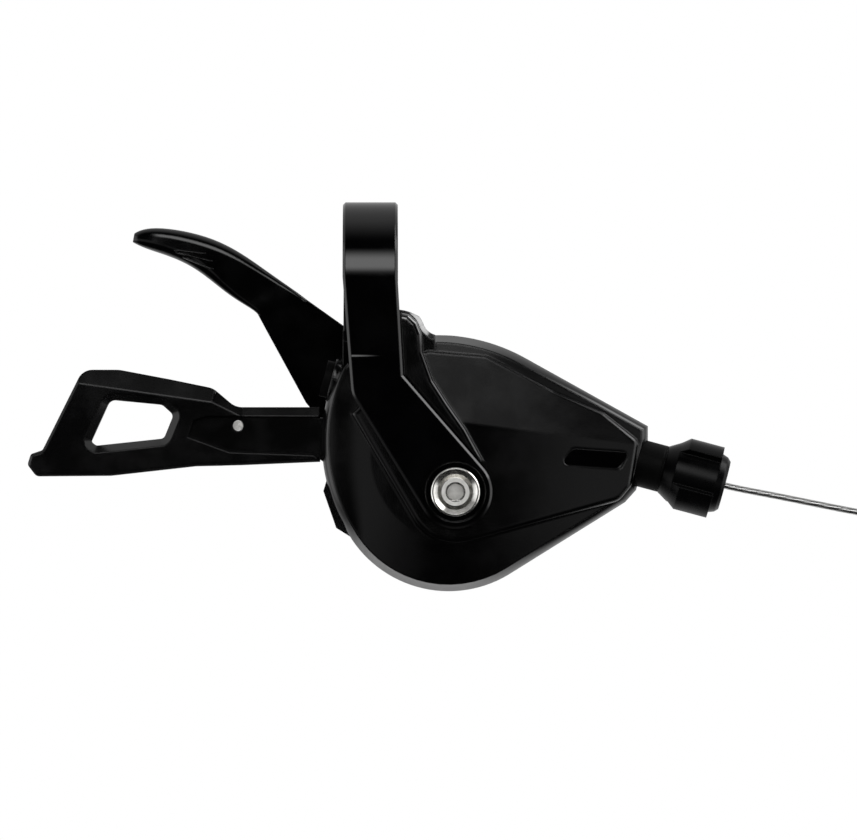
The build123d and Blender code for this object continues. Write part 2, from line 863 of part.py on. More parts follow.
def pawl_spring(pin, leg, leg_angle, front, back):
    """A clip spring round a pawl pin, with one straight leg."""
    inside = pawl_pin_radius + spring_clearance
    with BuildSketch(depth_plane(back)) as profile:
        with Locations(pin):
            Circle(inside + strip)
        with BuildLine():
            Polyline(
                turned_about((pin[0], pin[1] - inside), pin, leg_angle),
                turned_about((pin[0], pin[1] - inside - strip), pin, leg_angle),
                turned_about((pin[0] + leg, pin[1] - inside - strip), pin, leg_angle),
                turned_about((pin[0] + leg, pin[1] - inside), pin, leg_angle),
                close=True,
            )
        make_face()
        with Locations(pin):
            Circle(inside, mode=Mode.SUBTRACT)
    extrude(profile.sketch, amount=back - front)


with BuildPart() as holding_spring:
    pawl_spring(holding_pin, holding_leg, holding_leg_angle, lever_front, lever_back - seat_gap)
holding_spring.part.label = "holding_spring"

with BuildPart() as drive_spring:
    drive_clip_back = pawl_front - seat_gap
    pawl_spring(drive_pin, drive_leg, drive_leg_angle, drive_clip_back - strip, drive_clip_back)
drive_spring.part.label = "drive_spring"

# Main lever: plate, bush, pad and rivet
with BuildPart() as main_lever_plate:
    with BuildSketch(depth_plane(lever_back)):
        strap(axle, plate_hub, drive_pin, pawl_boss_radius + pawl_flange)
        strap(axle, plate_hub, arm_root, arm_root_radius)
        with BuildLine():
            Polyline(*plate_edge, close=True)
        make_face()
    extrude(amount=lever_thickness)
    post(axle, bush_collar_radius + thread_clearance, lever_front, lever_back, Mode.SUBTRACT)
    post(drive_pin, pawl_pin_radius + thread_clearance, lever_front, lever_back, Mode.SUBTRACT)
    post(rivet_place, rivet_radius + thread_clearance, lever_front, lever_back, Mode.SUBTRACT)
main_lever_plate.part.label = "main_lever_plate"

with BuildPart() as lever_bush:
    turned(
        [
            (axle_radius + running_clearance, lever_front),
            (bush_collar_radius, lever_front),
            (bush_collar_radius, lever_back),
            (plate_hub - strip, lever_back),
            (plate_hub - strip, lever_back + bush_flange),
            (bush_collar_radius, lever_back + bush_flange),
            (bush_collar_radius, bush_back),
            (axle_radius + running_clearance, bush_back),
        ],
        axle_section,
        axle_axis,
    )
lever_bush.part.label = "lever_bush"

pad_corners = [
    (-58.7, -30.9, 0.8),
    (-51.5, -16.5, 2.8),
    (-45.0, -16.5, 5.0),
    (-36.0, -18.2, 6.0),
    (-28.2, -19.8, 3.5),
    (-24.2, -23.2, 3.5),
    (-9.0, -23.2, 0),
    (-9.0, -33.0, 0),
    (-23.2, -33.6, 0),
    (-31.2, -33.8, 4.0),
    (-46.4, -35.5, 6.0),
    (-59.8, -35.6, 1.2),
    (-61.4, -33.5, 0.9),
    (-60.8, -31.6, 0.7),
]
window_corners = [
    (-46.6, -21.9, 1.4),
    (-37.3, -22.8, 1.4),
    (-35.3, -24.6, 1.0),
    (-37.0, -28.8, 1.0),
    (-49.2, -30.1, 0.9),
    (-50.0, -29.4, 0.4),
]
ledge_corners = [
    (-61.2, -33.5, 0.8),
    (-59.8, -35.5, 1.0),
    (-46.4, -35.4, 6.0),
    (-31.2, -33.8, 4.0),
    (-26.0, -33.7, 0.6),
    (-26.0, -31.7, 0.6),
    (-31.2, -31.7, 3.0),
    (-46.6, -33.2, 5.0),
    (-57.0, -33.2, 1.0),
    (-60.6, -31.8, 0.4),
]
pad_crease = [(-56.0, -18.4), (-28.4, -22.3), (-22.9, -25.0), (-8.0, -25.4)]
with BuildPart() as main_lever_pad:
    pad_front = lever_front - pad_skin
    pad_back = lever_back + pad_skin
    rounded_plate(pad_corners, pad_front, pad_back)
    pad_face = main_lever_pad.faces().sort_by(Axis.Y)[0]
    chamfer(pad_face.edges(), length=pad_edge_break)
    back_face = main_lever_pad.faces().sort_by(Axis.Y)[-1]
    chamfer(back_face.edges(), length=pad_edge_break)
    rounded_plate(window_corners, pad_front, pad_back, Mode.SUBTRACT)
    pad_face = main_lever_pad.faces().sort_by(Axis.Y)[0]
    window_edges = pad_face.inner_wires()[0].edges()
    chamfer(window_edges, length=window_bevel, length2=window_draft, reference=pad_face)
    for left, right in zip(pad_crease, pad_crease[1:]):
        facet(left, right, pad_front, pad_tilt)
    rounded_plate(ledge_corners, lever_back, ledge_back)
    with BuildSketch(depth_plane(lever_back)):
        with BuildLine():
            Polyline(*plate_edge, close=True)
        make_face()
        offset(amount=thread_clearance, kind=Kind.INTERSECTION)
        strap(axle, plate_hub, arm_root, arm_root_radius + thread_clearance)
    extrude(amount=lever_back - pad_front, mode=Mode.SUBTRACT)
    post(rivet_place, rivet_radius + thread_clearance, lever_back, pad_back, Mode.SUBTRACT)
main_lever_pad.part.label = "main_lever_pad"

with BuildPart() as lever_rivet:
    post(rivet_place, rivet_radius, lever_front - rivet_head, pad_back)
lever_rivet.part.label = "lever_rivet"

with BuildPart() as lever_spring:
    spiral(
        bush_collar_radius + strip,
        lever_spring_pitch,
        5,
        lever_spring_start,
        lever_back + bush_flange + seat_gap,
        bush_back - seat_gap,
    )
lever_spring.part.label = "lever_spring"

# Release lever with its cam sleeve
with BuildPart() as release_cam:
    with BuildSketch(depth_plane(cam_back)):
        strap(axle, cam_radius + strip, round_axle(finger_circle, finger_angle), finger_radius)
    extrude(amount=cam_thickness)
    post(axle, cam_radius, cam_front, release_front)
    post(axle, axle_radius + running_clearance, cam_front, release_front, Mode.SUBTRACT)
release_cam.part.label = "release_cam"

with BuildPart() as release_spring:
    spiral(cam_radius + strip, release_spring_pitch, 5, 90, cam_back + side_gap, release_front - side_gap)
release_spring.part.label = "release_spring"

release_edge = [
    (-11.4, -3.9),
    (1.4, -13.0),
    (19.2, -31.4),
    (7.7, -41.0),
    (-7.0, -28.0),
    (-11.7, -22.4),
    (-18.8, -9.4),
    (-20.3, -6.6),
]
blade_sections = [
    ((-11.4, -3.9), (-20.2, -6.8), 0.0, 2.2, 0.6),
    ((-16.4, -0.3), (-23.1, -4.5), 0.0, 2.8, 0.9),
    ((-21.5, 3.3), (-27.5, -1.4), 0.0, 4.4, 1.4),
    ((-28.2, 7.0), (-32.8, 2.4), 0.1, 6.4, 1.9),
    ((-34.9, 8.8), (-38.0, 4.6), 0.4, 7.2, 1.9),
    ((-40.6, 9.0), (-41.6, 5.9), 1.0, 6.6, 1.3),
    ((-42.7, 8.2), (-43.0, 6.6), 2.0, 5.0, 0.7),
]
with BuildPart() as release_lever:
    plate(release_edge, release_front, release_back)
    post(axle, release_hub, release_front, release_back)
    sections = []
    for upper, lower, setback, thickness, corner in blade_sections:
        across = (upper[0] - lower[0], upper[1] - lower[1])
        width = hypot(*across)
        depth = release_front + setback + thickness / 2
        middle = ((upper[0] + lower[0]) / 2, depth, (upper[1] + lower[1]) / 2)
        section_plane = Plane(origin=middle, x_dir=(across[0], 0, across[1]), z_dir=(-across[1], 0, across[0]))
        with BuildSketch(section_plane) as section:
            RectangleRounded(width, thickness, corner)
        sections.append(section.sketch)
    loft(sections)
    post(axle, axle_radius + running_clearance, release_front, release_back, Mode.SUBTRACT)
release_lever.part.label = "release_lever"

# Barrel adjuster
with BuildPart() as adjuster_bush:
    turned(
        [
            (bush_start, wire_hole_radius),
            (stem_start - seat_gap, wire_hole_radius),
            (stem_start - seat_gap, stem_radius + running_clearance),
            (neck_end, stem_radius + running_clearance),
            (neck_end, neck_radius),
            (neck_start, neck_radius),
            (neck_start, bush_radius),
            (bush_start, bush_radius),
        ],
        wire_section,
        wire_axis,
    )
adjuster_bush.part.label = "adjuster_bush"

with BuildPart() as adjuster_washer:
    turned(
        [
            (neck_end, stem_radius + running_clearance),
            (neck_end + washer_length, stem_radius + running_clearance),
            (neck_end + washer_length, neck_radius),
            (neck_end, neck_radius),
        ],
        wire_section,
        wire_axis,
    )
adjuster_washer.part.label = "adjuster_washer"

knob_start = neck_end + washer_length + running_clearance
grip_start = knob_start + knob_flare
grip_end = grip_start + knob_grip
knob_end = grip_end + knob_nose
ridge_height = knob_ridge_radius - knob_core_radius
with BuildPart() as adjuster_knob:
    turned(
        [
            (stem_start, wire_hole_radius),
            (stem_start, stem_radius),
            (knob_start, stem_radius),
            (knob_start, neck_radius),
            (grip_start, knob_core_radius),
            (grip_end, knob_core_radius),
            (knob_end - nose_break, knob_end_radius + nose_break),
            (knob_end, knob_end_radius),
            (knob_end, casing_seat_radius),
            (knob_end - casing_seat_depth, casing_seat_radius),
            (knob_end - casing_seat_depth, wire_hole_radius),
        ],
        wire_section,
        wire_axis,
    )
    knob_middle = along_wire(grip_start)
    knob_plane = Plane(origin=(knob_middle[0], wire_depth, knob_middle[1]), x_dir=(0, -1, 0), z_dir=wire_way)
    with BuildSketch(knob_plane) as ridges:
        for n in range(ridge_count):
            middle = ridge_turn + 360 * n / ridge_count
            angles = [middle - ridge_width / 2, middle, middle + ridge_width / 2]
            rim = [
                (knob_ridge_radius * cos(radians(t)), knob_ridge_radius * sin(radians(t))) for t in angles
            ]
            foot = [(0.7 * x, 0.7 * y) for x, y in rim]
            with BuildLine():
                ThreePointArc(*rim)
                Line(rim[2], foot[2])
                Line(foot[2], foot[0])
                Line(foot[0], rim[0])
            make_face()
    extrude(amount=knob_grip)
    turned(
        [
            (grip_start, knob_core_radius),
            (grip_start + ridge_lead, knob_ridge_radius),
            (grip_start + ridge_lead, knob_ridge_radius + ridge_height),
            (grip_start - ridge_lead, knob_ridge_radius + ridge_height),
            (grip_start - ridge_lead, knob_core_radius),
        ],
        wire_section,
        wire_axis,
        Mode.SUBTRACT,
    )
adjuster_knob.part.label = "adjuster_knob"

# Cable: the straight stretch inside, the free stretch and the coil
with BuildPart() as inner_wire:
    wire_post(wire_radius, -head_lead, knob_end)
inner_wire.part.label = "inner_wire"

exit_place = along_wire(knob_end)
route = [exit_place, along_wire(knob_end + exit_lead)] + cable_points
route_points = [Vector(x, wire_depth, z) for x, z in route]
route_radii = []
for first, middle, last in zip(route_points, route_points[1:], route_points[2:]):
    turn = (middle - first).get_angle(last - middle)
    shorter = min((middle - first).length, (last - middle).length)
    route_radii.append(0.45 * shorter / tan(radians(turn) / 2))
print("cable bend radii", [round(r, 1) for r in route_radii])
with BuildPart() as cable_run:
    with BuildLine() as route_line:
        FilletPolyline(*route_points, radius=route_radii)
    first_way = route_points[1] - route_points[0]
    with BuildSketch(Plane(origin=route_points[0], z_dir=first_way)):
        Circle(wire_radius)
    sweep()
route_volume = pi * wire_radius**2 * route_line.wire().length
print("cable run volume", cable_run.part.volume, "section times length", route_volume)
cable_run.part.label = "cable_run"

with BuildPart() as cable_coil:
    coil_section = Plane(origin=(coil_centre[0], wire_depth, coil_centre[1]), x_dir=(1, 0, 0), z_dir=(0, 0, 1))
    with BuildSketch(coil_section):
        with Locations((coil_radius, 0)):
            Circle(bundle_radius)
    revolve(axis=Axis((coil_centre[0], wire_depth, coil_centre[1]), (0, 1, 0)))
cable_coil.part.label = "cable_coil"

with BuildPart() as coil_tie:
    tie_way = (-sin(radians(tie_angle)), 0, cos(radians(tie_angle)))
    tie_place = (
        coil_centre[0] + coil_radius * cos(radians(tie_angle)),
        wire_depth,
        coil_centre[1] + coil_radius * sin(radians(tie_angle)),
    )
    with BuildSketch(Plane(origin=tie_place, z_dir=tie_way)):
        Circle(bundle_radius + tie_wall)
    extrude(amount=tie_width / 2, both=True)
    with BuildSketch(coil_section):
        with Locations((coil_radius, 0)):
            Circle(bundle_radius + thread_clearance)
    revolve(axis=Axis((coil_centre[0], wire_depth, coil_centre[1]), (0, 1, 0)), mode=Mode.SUBTRACT)
coil_tie.part.label = "coil_tie"

pieces = [
    clamp_band,
    clamp_bolt,
    main_axle,
    axle_washer,
    axle_nut,
    base_plate,
    front_cover,
    rear_cover,
    hub_cap,
    cover_screws,
    port_plug,
    cable_spool,
    ratchet_ring,
    cable_head,
    spool_spring,
    holding_pawl,
    pawl_pin,
    holding_spring,
    drive_pawl,
    drive_pawl_pin,
    drive_spring,
    main_lever_plate,
    lever_bush,
    main_lever_pad,
    lever_rivet,
    lever_spring,
    release_lever,
    release_cam,
    release_spring,
    adjuster_bush,
    adjuster_washer,
    adjuster_knob,
    inner_wire,
    cable_run,
    cable_coil,
    coil_tie,
]
os.makedirs("parts", exist_ok=True)
for piece in pieces:
    export_step(piece.part, f"parts/{piece.part.label}.step")
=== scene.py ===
import math
import bmesh
import bpy
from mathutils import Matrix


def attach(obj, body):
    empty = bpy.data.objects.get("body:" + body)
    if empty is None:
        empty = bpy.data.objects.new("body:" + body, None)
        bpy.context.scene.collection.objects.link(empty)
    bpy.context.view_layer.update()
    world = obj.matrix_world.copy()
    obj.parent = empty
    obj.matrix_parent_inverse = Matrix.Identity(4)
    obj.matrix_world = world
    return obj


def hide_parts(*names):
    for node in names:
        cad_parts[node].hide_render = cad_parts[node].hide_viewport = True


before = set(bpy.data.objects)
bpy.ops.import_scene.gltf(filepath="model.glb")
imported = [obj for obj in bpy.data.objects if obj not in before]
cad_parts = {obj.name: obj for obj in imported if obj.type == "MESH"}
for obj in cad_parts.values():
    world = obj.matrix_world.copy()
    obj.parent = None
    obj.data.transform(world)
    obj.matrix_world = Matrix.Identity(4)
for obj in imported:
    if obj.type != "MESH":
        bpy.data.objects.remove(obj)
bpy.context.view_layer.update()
mm = 0.001
print("frame loaded with", len(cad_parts), "nodes")


class Wire:  # one socket of a node tree, with sums written as sums
    def __init__(self, tree, socket=None):
        self.tree = tree
        self.socket = socket

    def node(self, kind, setup=None, values=None, output=0):
        made = self.tree.nodes.new(kind)
        for key, value in (setup or {}).items():
            setattr(made, key, value)
        for key, value in (values or {}).items():
            if isinstance(value, Wire):
                self.tree.links.new(value.socket, made.inputs[key])
            else:
                made.inputs[key].default_value = value
        return Wire(self.tree, made.outputs[output]) if made.outputs else made

    def maths(self, operation, first, second=0.0):
        return self.node("ShaderNodeMath", {"operation": operation}, {0: first, 1: second})

    def __add__(self, other):
        return self.maths("ADD", self, other)

    def __sub__(self, other):
        return self.maths("SUBTRACT", self, other)

    def __rsub__(self, other):
        return self.maths("SUBTRACT", other, self)

    def __mul__(self, other):
        return self.maths("MULTIPLY", self, other)

    def __gt__(self, other):
        return self.maths("GREATER_THAN", self, other)

    def clip(self, low, high):  # low..high of the value becomes 0..1
        soft = {"interpolation_type": "SMOOTHSTEP"}
        return self.node("ShaderNodeMapRange", soft, {0: self, 1: low, 2: high})

    def clipMm(self, low, high):  # the same between two places in millimetres
        return self.clip(low * mm, high * mm)

    def power(self, exponent):
        return self.maths("POWER", self, exponent)

    __radd__ = __add__
    __rmul__ = __mul__


def startMaterial(name):
    material = bpy.data.materials.new(name)
    material.use_nodes = True
    tree = material.node_tree
    tree.nodes.clear()
    return material, Wire(tree)


def closeMaterial(material, pen, values):  # values go straight to the shader's sockets
    shader = pen.node("ShaderNodeBsdfPrincipled", {}, values)
    pen.node("ShaderNodeOutputMaterial", {}, {"Surface": shader})
    return material


def shadeMix(pen, factor, first, second):  # 6 and 7 are a Mix node's colours, and 2 is its colour result
    picked = {"data_type": "RGBA", "clamp_factor": True}
    values = {0: factor, 6: (*first, 1.0), 7: (*second, 1.0)}
    return pen.node("ShaderNodeMix", picked, values, 2)


def grain(pen, place, size, detail=2.0, rough=0.5):  # noise with features about this many metres apart
    values = {"Vector": place, "Scale": 1.0 / size, "Detail": detail, "Roughness": rough}
    return pen.node("ShaderNodeTexNoise", {}, values)


def objectPlace(pen):
    return pen.node("ShaderNodeTexCoord", {}, {}, "Object")


def axes(pen, place):  # the three numbers of a vector
    split = pen.node("ShaderNodeSeparateXYZ", {}, {"Vector": place}).socket.node
    return [Wire(pen.tree, output) for output in split.outputs]


def spread(first, second):  # distance from an axis, out of two offsets
    return (first * first + second * second).power(0.5)


def rounded(pen, radius, samples=6):  # soft edges on hard corners
    return pen.node("ShaderNodeBevel", {"samples": samples}, {"Radius": radius})


def bumped(pen, height, normal, strength=1.0, distance=1.0):  # with both at 1 the height is in metres
    values = {"Strength": strength, "Distance": distance, "Height": height, "Normal": normal}
    return pen.node("ShaderNodeBump", {}, values)


blackFinishes = {  # grain and edge in metres, crown, rim, lip and fold in millimetres
    "coverSatin": {
        "dark": (0.0008, 0.0008, 0.0009), "light": (0.0018, 0.0018, 0.0020), "rough": (0.15, 0.21),
        "grain": 0.00016, "bump": 0.04, "edge": 0.00030,
    },
    "frontSatin": {
        "dark": (0.0006, 0.0006, 0.0007), "light": (0.0013, 0.0013, 0.0015), "rough": (0.13, 0.19),
        "grain": 0.00016, "bump": 0.04, "edge": 0.00060,
        "crown": {"middle": 14.0, "radius": 180.0},
        "rim": {"front": -9.9, "end": -5.4, "steep": 0.95, "right": (16.0, 42.0), "left": (-7.0, -1.0)},
        "lip": {"left": (3.6, 4.6), "right": (10.0, 11.0), "up": (-12.5, -8.5), "ior": 1.8, "rough": 0.10},
    },
    "inlayGloss": {
        "dark": (0.0005, 0.0005, 0.0006), "light": (0.0010, 0.0010, 0.0011), "rough": (0.07, 0.11),
        "grain": 0.00010, "bump": 0.02, "edge": 0.00010,
    },
    "bandGloss": {
        "dark": (0.0006, 0.0006, 0.0007), "light": (0.0012, 0.0012, 0.0014), "rough": (0.07, 0.11),
        "grain": 0.00010, "bump": 0.02, "edge": 0.00025,
        "fold": {"level": -14.4, "half": 0.60, "rise": 0.055, "left": -3.6, "right": 5.0},
    },
    "padSatin": {
        "dark": (0.0012, 0.0012, 0.0013), "light": (0.0024, 0.0024, 0.0026), "rough": (0.15, 0.22),
        "grain": 0.00014, "bump": 0.04, "edge": 0.00035, "shine": 0.36,
    },
    "releaseGloss": {
        "dark": (0.0006, 0.0006, 0.0007), "light": (0.0012, 0.0012, 0.0014), "rough": (0.08, 0.13),
        "grain": 0.00014, "bump": 0.02, "edge": 0.00030,
    },
    "leverGloss": {
        "dark": (0.0006, 0.0006, 0.0007), "light": (0.0012, 0.0012, 0.0014), "rough": (0.14, 0.20),
        "grain": 0.00014, "bump": 0.02, "edge": 0.00030,
    },
    "knobGrain": {
        "dark": (0.0006, 0.0006, 0.0007), "light": (0.0016, 0.0016, 0.0018), "rough": (0.22, 0.30),
        "grain": 0.00022, "bump": 0.06, "edge": 0.00035, "shine": 0.15,
    },
    "plugRubber": {
        "dark": (0.0010, 0.0010, 0.0010), "light": (0.0024, 0.0024, 0.0024), "rough": (0.50, 0.65),
        "grain": 0.00030, "bump": 0.10, "edge": 0.00030, "shine": 0.10,
    },
}
plasticSkin = {  # shared by the black finishes; cloud and dust are a noise's size, detail and roughness
    "cloud": (0.006, 4.0, 0.6), "cloudRange": (0.35, 0.70), "cloudShare": 0.7,
    "dust": (0.0007, 5.0, 0.7), "dustAbove": 0.69, "dustShare": 0.3,
    "speckRough": 0.06, "bumpDepth": 0.00004, "ior": 1.48, "shine": 0.5,
}


def crownHeight(pen, place, crown):  # the slight swell of a moulded face from side to side
    across = axes(pen, place)[0] - crown["middle"] * mm
    return across * across * (-0.5 / (crown["radius"] * mm))


def rimHeight(pen, place, rim):  # rounds the rim's slope into the face towards the cover's two sides
    across, deep = axes(pen, place)[:2]
    sides = across.clipMm(*rim["right"]) + (1 - across.clipMm(*rim["left"]))
    toGo = pen.maths("MAXIMUM", rim["end"] * mm - pen.maths("MAXIMUM", deep, rim["front"] * mm), 0.0)
    whole = (rim["end"] - rim["front"]) * mm
    return (whole * whole - toGo * toGo) * (0.5 * rim["steep"] / whole) * sides


def foldHeight(pen, place, fold):  # the faint fold across the band's arm, fading towards the right
    across, up = axes(pen, place)[::2]
    step = up.clipMm(fold["level"] - fold["half"], fold["level"] + fold["half"])
    shown = (across > fold["left"] * mm) * (1 - across.clipMm(fold["left"], fold["right"]))
    return step * (1 - step) * shown * (4 * fold["rise"] * mm)  # a step times its rest is 1/4 at most


def lipCoat(pen, place, lip):  # where the saddle ear's lip is polished
    across, up = axes(pen, place)[::2]
    return across.clipMm(*lip["left"]) * (1 - across.clipMm(*lip["right"])) * up.clipMm(*lip["up"])


def blackPlastic(name, look):
    material, pen = startMaterial(name)
    place, skin = objectPlace(pen), plasticSkin
    cloud = grain(pen, place, *skin["cloud"]).clip(*skin["cloudRange"])
    speck = grain(pen, place, look["grain"])
    dust = (grain(pen, place, *skin["dust"]) > skin["dustAbove"]) * cloud
    patchy = cloud * skin["cloudShare"] + dust * skin["dustShare"]
    low, high = look["rough"]
    normal = rounded(pen, look["edge"])
    for key, height in (("crown", crownHeight), ("fold", foldHeight), ("rim", rimHeight)):
        if key in look:
            normal = bumped(pen, height(pen, place, look[key]), normal)
    values = {
        "Base Color": shadeMix(pen, patchy, look["dark"], look["light"]),
        "Roughness": cloud * (high - low) + speck * skin["speckRough"] + (low - skin["speckRough"] / 2),
        "Normal": bumped(pen, speck, normal, look["bump"], skin["bumpDepth"]),
        "IOR": skin["ior"], "Specular IOR Level": look.get("shine", skin["shine"]),
    }
    if "lip" in look:
        values["Coat Weight"] = lipCoat(pen, place, look["lip"])
        values.update({"Coat IOR": look["lip"]["ior"], "Coat Roughness": look["lip"]["rough"]})
    return closeMaterial(material, pen, values)


metalFinishes = {  # the bolt's axis and the radii round it in millimetres
    "boltBright": {
        "dark": (0.70, 0.69, 0.66), "light": (0.90, 0.89, 0.86), "rough": (0.13, 0.19), "edge": 0.00012,
        "axis": (15.2, -38.3), "socket": 1.46, "lip": 1.78, "collar": 2.48,
    },
    "rivetBright": {
        "dark": (0.62, 0.61, 0.59), "light": (0.90, 0.89, 0.86), "rough": (0.18, 0.28), "edge": 0.00012,
        "metal": 0.35,
    },
    "steelPlain": {
        "dark": (0.26, 0.26, 0.26), "light": (0.48, 0.48, 0.47), "rough": (0.26, 0.42), "edge": 0.00015,
    },
}
metalSkin = {
    "cloud": (0.0012, 4.0, 0.6), "cloudRange": (0.3, 0.75), "cloudRough": 0.05,
    # paintedHighlight: how far the bolt's socket floor and collar turn from metal to flat pale colour, a
    # painted highlight
    "scratch": (0.00012, 3.0, 0.6), "bump": 0.03, "bumpDepth": 0.00003, "paintedHighlight": 0.92,
}


def axisReach(pen, place, axis):  # distance from a line along Y
    across, up = axes(pen, place)[::2]
    return spread(across - axis[0] * mm, up - axis[1] * mm)


def turnedMetal(name, look):
    material, pen = startMaterial(name)
    place, skin = objectPlace(pen), metalSkin
    cloud = grain(pen, place, *skin["cloud"]).clip(*skin["cloudRange"])
    scratch = grain(pen, place, *skin["scratch"])
    low, high = look["rough"]
    metallic = look.get("metal", 1.0)
    if "axis" in look:  # painted highlight: the socket's floor and the collar round it lose most of their metal and show the pale colour flat, bright in place of a reflection
        reach = axisReach(pen, place, look["axis"])
        socket = 1 - (reach > look["socket"] * mm)
        collar = (reach > look["lip"] * mm) * (1 - (reach > look["collar"] * mm))
        metallic = 1 - skin["paintedHighlight"] * (socket + collar)
    return closeMaterial(material, pen, {
        "Base Color": shadeMix(pen, cloud, look["dark"], look["light"]), "Metallic": metallic,
        "Roughness": scratch * (high - low) + cloud * skin["cloudRough"] + low,
        "Normal": bumped(pen, scratch, rounded(pen, look["edge"]), skin["bump"], skin["bumpDepth"]),
    })


paleFinishes = {
    "spoolNylon": {"dark": (0.44, 0.44, 0.42), "light": (0.62, 0.62, 0.59), "rough": (0.42, 0.55)},
    "bearingNylon": {"dark": (0.60, 0.58, 0.50), "light": (0.78, 0.76, 0.68), "rough": (0.38, 0.50)},
}
nylonSkin = {
    "cloud": (0.004, 4.0, 0.6), "cloudRange": (0.3, 0.7), "grain": 0.0002, "bump": 0.08,
    "bumpDepth": 0.00004, "edge": 0.0002,
}


def paleNylon(name, look):
    material, pen = startMaterial(name)
    place, skin = objectPlace(pen), nylonSkin
    cloud = grain(pen, place, *skin["cloud"]).clip(*skin["cloudRange"])
    speck = grain(pen, place, skin["grain"])
    low, high = look["rough"]
    return closeMaterial(material, pen, {
        "Base Color": shadeMix(pen, cloud, look["dark"], look["light"]),
        "Roughness": speck * (high - low) + low,
        "Normal": bumped(pen, speck, rounded(pen, skin["edge"]), skin["bump"], skin["bumpDepth"]),
    })


cableFinish = {
    "strands": 6.0, "lay": 0.0085, "dark": (0.16, 0.16, 0.16), "light": (0.72, 0.72, 0.71), "shadeCurve": 0.6,
    "rough": (0.30, 0.42), "bump": 0.45, "bumpDepth": 0.00006,
}


def strandedSteel(name, look, length):  # strands wound round the cable, from its own length and girth, with painted shade darkening the grooves between them
    material, pen = startMaterial(name)
    along, around = axes(pen, pen.node("ShaderNodeTexCoord", {}, {}, "UV"))[:2]
    turn = along * (length / look["lay"]) + around
    wave = pen.maths("FRACT", turn * look["strands"])
    hump = 1 - pen.maths("ABSOLUTE", wave * 2.0 - 1.0).power(2.0)  # 1 on top of a strand, 0 between two
    plain = pen.node("ShaderNodeNewGeometry", {}, {}, "Normal")
    low, high = look["rough"]
    return closeMaterial(material, pen, {
        # painted shade: the colour darkens from each strand's top into the groove between two strands
        "Base Color": shadeMix(pen, hump.power(look["shadeCurve"]), look["dark"], look["light"]),
        "Metallic": 1.0, "Roughness": high - (high - low) * hump,
        "Normal": bumped(pen, hump, plain, look["bump"], look["bumpDepth"]),
    })


finishes = {name: blackPlastic(name, look) for name, look in blackFinishes.items()}
finishes.update({name: turnedMetal(name, look) for name, look in metalFinishes.items()})
finishes.update({name: paleNylon(name, look) for name, look in paleFinishes.items()})

nodeFinish = {
    "frontSatin": ["front_cover"],
    "coverSatin": ["rear_cover", "hub_cap"],
    "bandGloss": ["clamp_band"],
    "padSatin": ["main_lever_pad"],
    "releaseGloss": ["release_lever"],
    "leverGloss": ["main_lever_plate"],
    "knobGrain": ["adjuster_knob", "coil_tie"],
    "plugRubber": ["port_plug", "adjuster_washer", "adjuster_bush"],
    "boltBright": ["clamp_bolt"],
    "rivetBright": ["lever_rivet"],
    "steelPlain": [
        "main_axle", "axle_washer", "axle_nut", "base_plate", "cover_screws", "ratchet_ring", "cable_head",
        "spool_spring", "holding_pawl", "pawl_pin", "holding_spring", "drive_pawl", "drive_pawl_pin",
        "drive_spring", "lever_spring", "release_cam", "release_spring", "inner_wire",
    ],
    "spoolNylon": ["cable_spool"],
    "bearingNylon": ["lever_bush"],
}
for finishName, nodeNames in nodeFinish.items():
    for nodeName in nodeNames:
        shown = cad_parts[nodeName]
        shown.data.materials.clear()
        shown.data.materials.append(finishes[finishName])
print("finishes set on", sum(len(names) for names in nodeFinish.values()), "nodes")


def startPiece(name, add, **kind):  # a flat primitive facing the front, left in edit mode
    bpy.ops.object.select_all(action="DESELECT")
    add(size=1.0, rotation=(math.radians(90), 0, 0), **kind)
    piece = bpy.context.object
    piece.name = name
    bpy.ops.object.transform_apply(location=False, rotation=True, scale=False)
    bpy.ops.object.mode_set(mode="EDIT")
    return piece


def pickCorners(piece, test):  # selects vertices by their place
    made = bmesh.from_edit_mesh(piece.data)
    for corner in made.verts:
        corner.select_set(bool(test(corner.co)))
    made.select_flush_mode()
    bmesh.update_edit_mesh(piece.data)


def thicken(thick):  # the whole flat piece, towards the back
    bpy.ops.mesh.select_all(action="SELECT")
    bpy.ops.mesh.extrude_region_move(TRANSFORM_OT_translate={"value": (0, thick * mm, 0)})
    bpy.ops.mesh.select_all(action="SELECT")


def closePiece(piece, finish):
    bpy.ops.mesh.normals_make_consistent(inside=False)
    bpy.ops.object.mode_set(mode="OBJECT")
    piece.data.materials.append(finishes[finish])
    return piece


inlay = {
    "middle": (40.2, -32.3), "width": 10.15, "height": 2.75, "lean": 1.95, "fall": 0.7, "front": -10.88,
    "thick": 0.16, "round": 0.75, "roundSteps": 6, "finish": "inlayGloss",
}


def bareInlay(look):  # the dark bare plate in the cover's recess
    piece = startPiece("coverInlay", bpy.ops.mesh.primitive_plane_add)
    bpy.ops.transform.resize(value=(look["width"] * mm, 1, look["height"] * mm))
    pickCorners(piece, lambda at: at.z > 0)
    bpy.ops.transform.translate(value=(look["lean"] * mm, 0, 0))
    pickCorners(piece, lambda at: at.x > 0)
    bpy.ops.transform.translate(value=(0, 0, -look["fall"] * mm))
    bpy.ops.mesh.select_all(action="SELECT")
    bpy.ops.mesh.bevel(offset=look["round"] * mm, segments=look["roundSteps"], affect="VERTICES")
    thicken(look["thick"])
    middle = (look["middle"][0] - look["lean"] / 2, look["front"], look["middle"][1] + look["fall"] / 2)
    bpy.ops.transform.translate(value=tuple(v * mm for v in middle))
    return closePiece(piece, look["finish"])


coverInlay = bareInlay(inlay)
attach(coverInlay, "housing")
print("inlay set in the cover")

